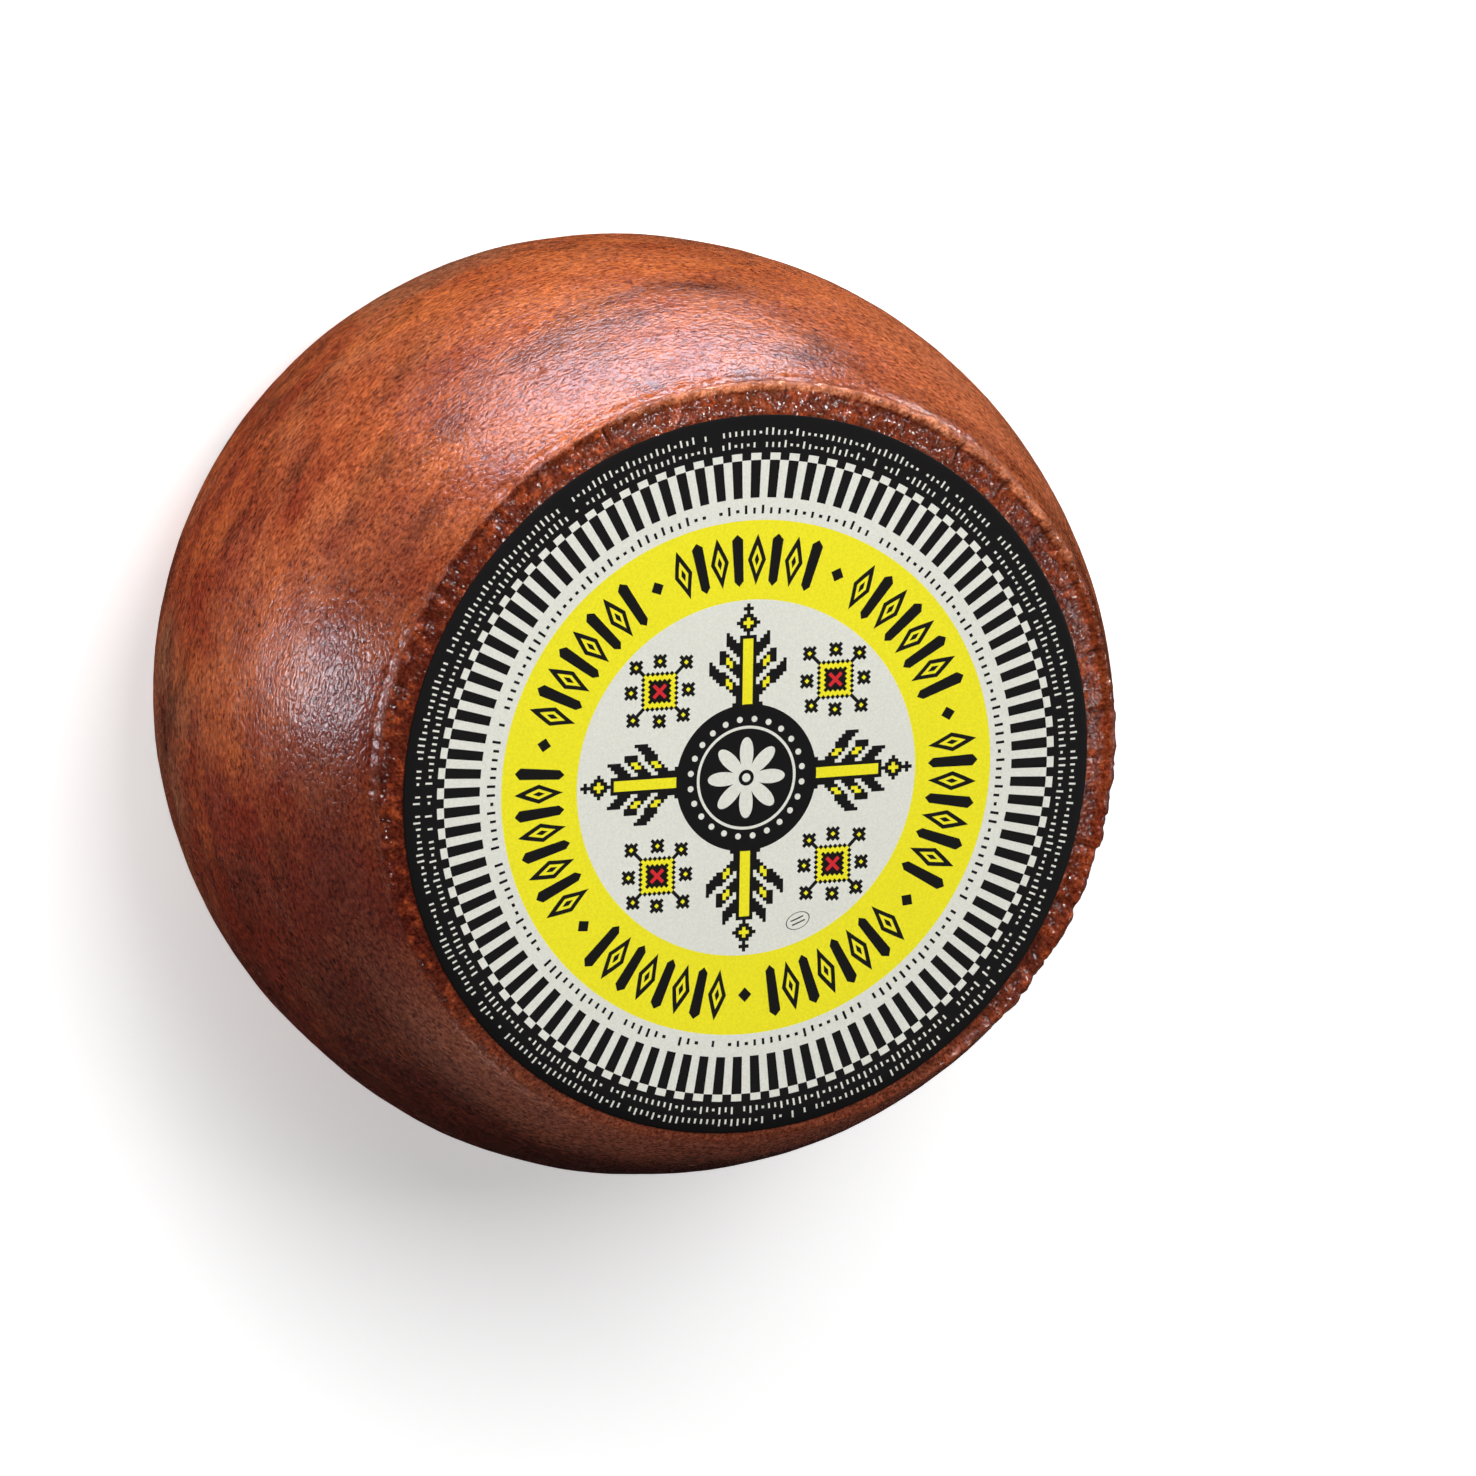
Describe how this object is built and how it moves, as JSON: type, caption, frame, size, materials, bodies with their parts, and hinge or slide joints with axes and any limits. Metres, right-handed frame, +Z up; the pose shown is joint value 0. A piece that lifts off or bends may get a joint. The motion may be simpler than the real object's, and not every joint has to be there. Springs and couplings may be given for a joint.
{
  "type": "cheese wheel",
  "caption": "Whole wheel of hard cheese lying flat: bulging side, glossy oiled reddish-brown rind, flat faces and a round printed paper label on the upper face.",
  "frame": {"origin": "centre of the plain flat face that the wheel lies on", "axes": "+Z up along the wheel's axis, out of the labelled face; +Y towards the top of the label's print"},
  "size_m": [0.195, 0.195, 0.1327],
  "materials": {
    "rind": "oiled, glossy, with a fine pebbled grain",
    "label_paper": "matte printed paper"
  },
  "bodies": {
    "root": {"cheese_wheel": "rind", "paper_label": "label_paper"}
  },
  "joints": []
}
